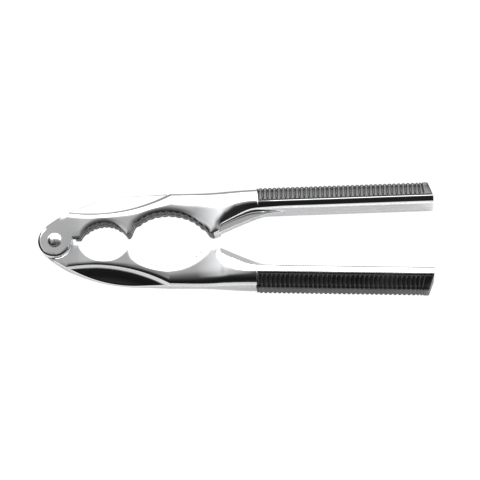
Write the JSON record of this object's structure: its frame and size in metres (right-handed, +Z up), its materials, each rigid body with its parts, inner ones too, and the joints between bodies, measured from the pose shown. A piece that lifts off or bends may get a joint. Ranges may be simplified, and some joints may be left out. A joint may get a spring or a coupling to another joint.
{
  "type": "nutcracker",
  "caption": "Plier-type nutcracker: crossed cast arms on a rivet, with toothed nut hollows in two sizes and ribbed saddle grips on the handles.",
  "frame": {"origin": "under the middle of the part's box, on the surface that the part lies on", "axes": "+X from the pivot to the handle ends, +Y to the upper arm, +Z up out of the front face, along the rivet"},
  "size_m": [0.1888, 0.0532, 0.0185],
  "materials": {
    "chrome_arm": "polished chrome plate over a zinc casting",
    "rivet": "satin steel",
    "grip": "black moulded plastic with cross ribs, low sheen"
  },
  "bodies": {
    "upper_half": {"upper_arm": "chrome_arm", "upper_grip": "grip", "pivot_rivet": "rivet"},
    "lower_half": {"lower_arm": "chrome_arm", "lower_grip": "grip"}
  },
  "joints": [
    {"name": "arm_pivot", "type": "hinge", "parent": "upper_half", "child": "lower_half", "pos_m": [-0.08637, 0, 0.00925], "axis": [0, 0, 1], "range_deg": [-165, 3.5]}
  ]
}
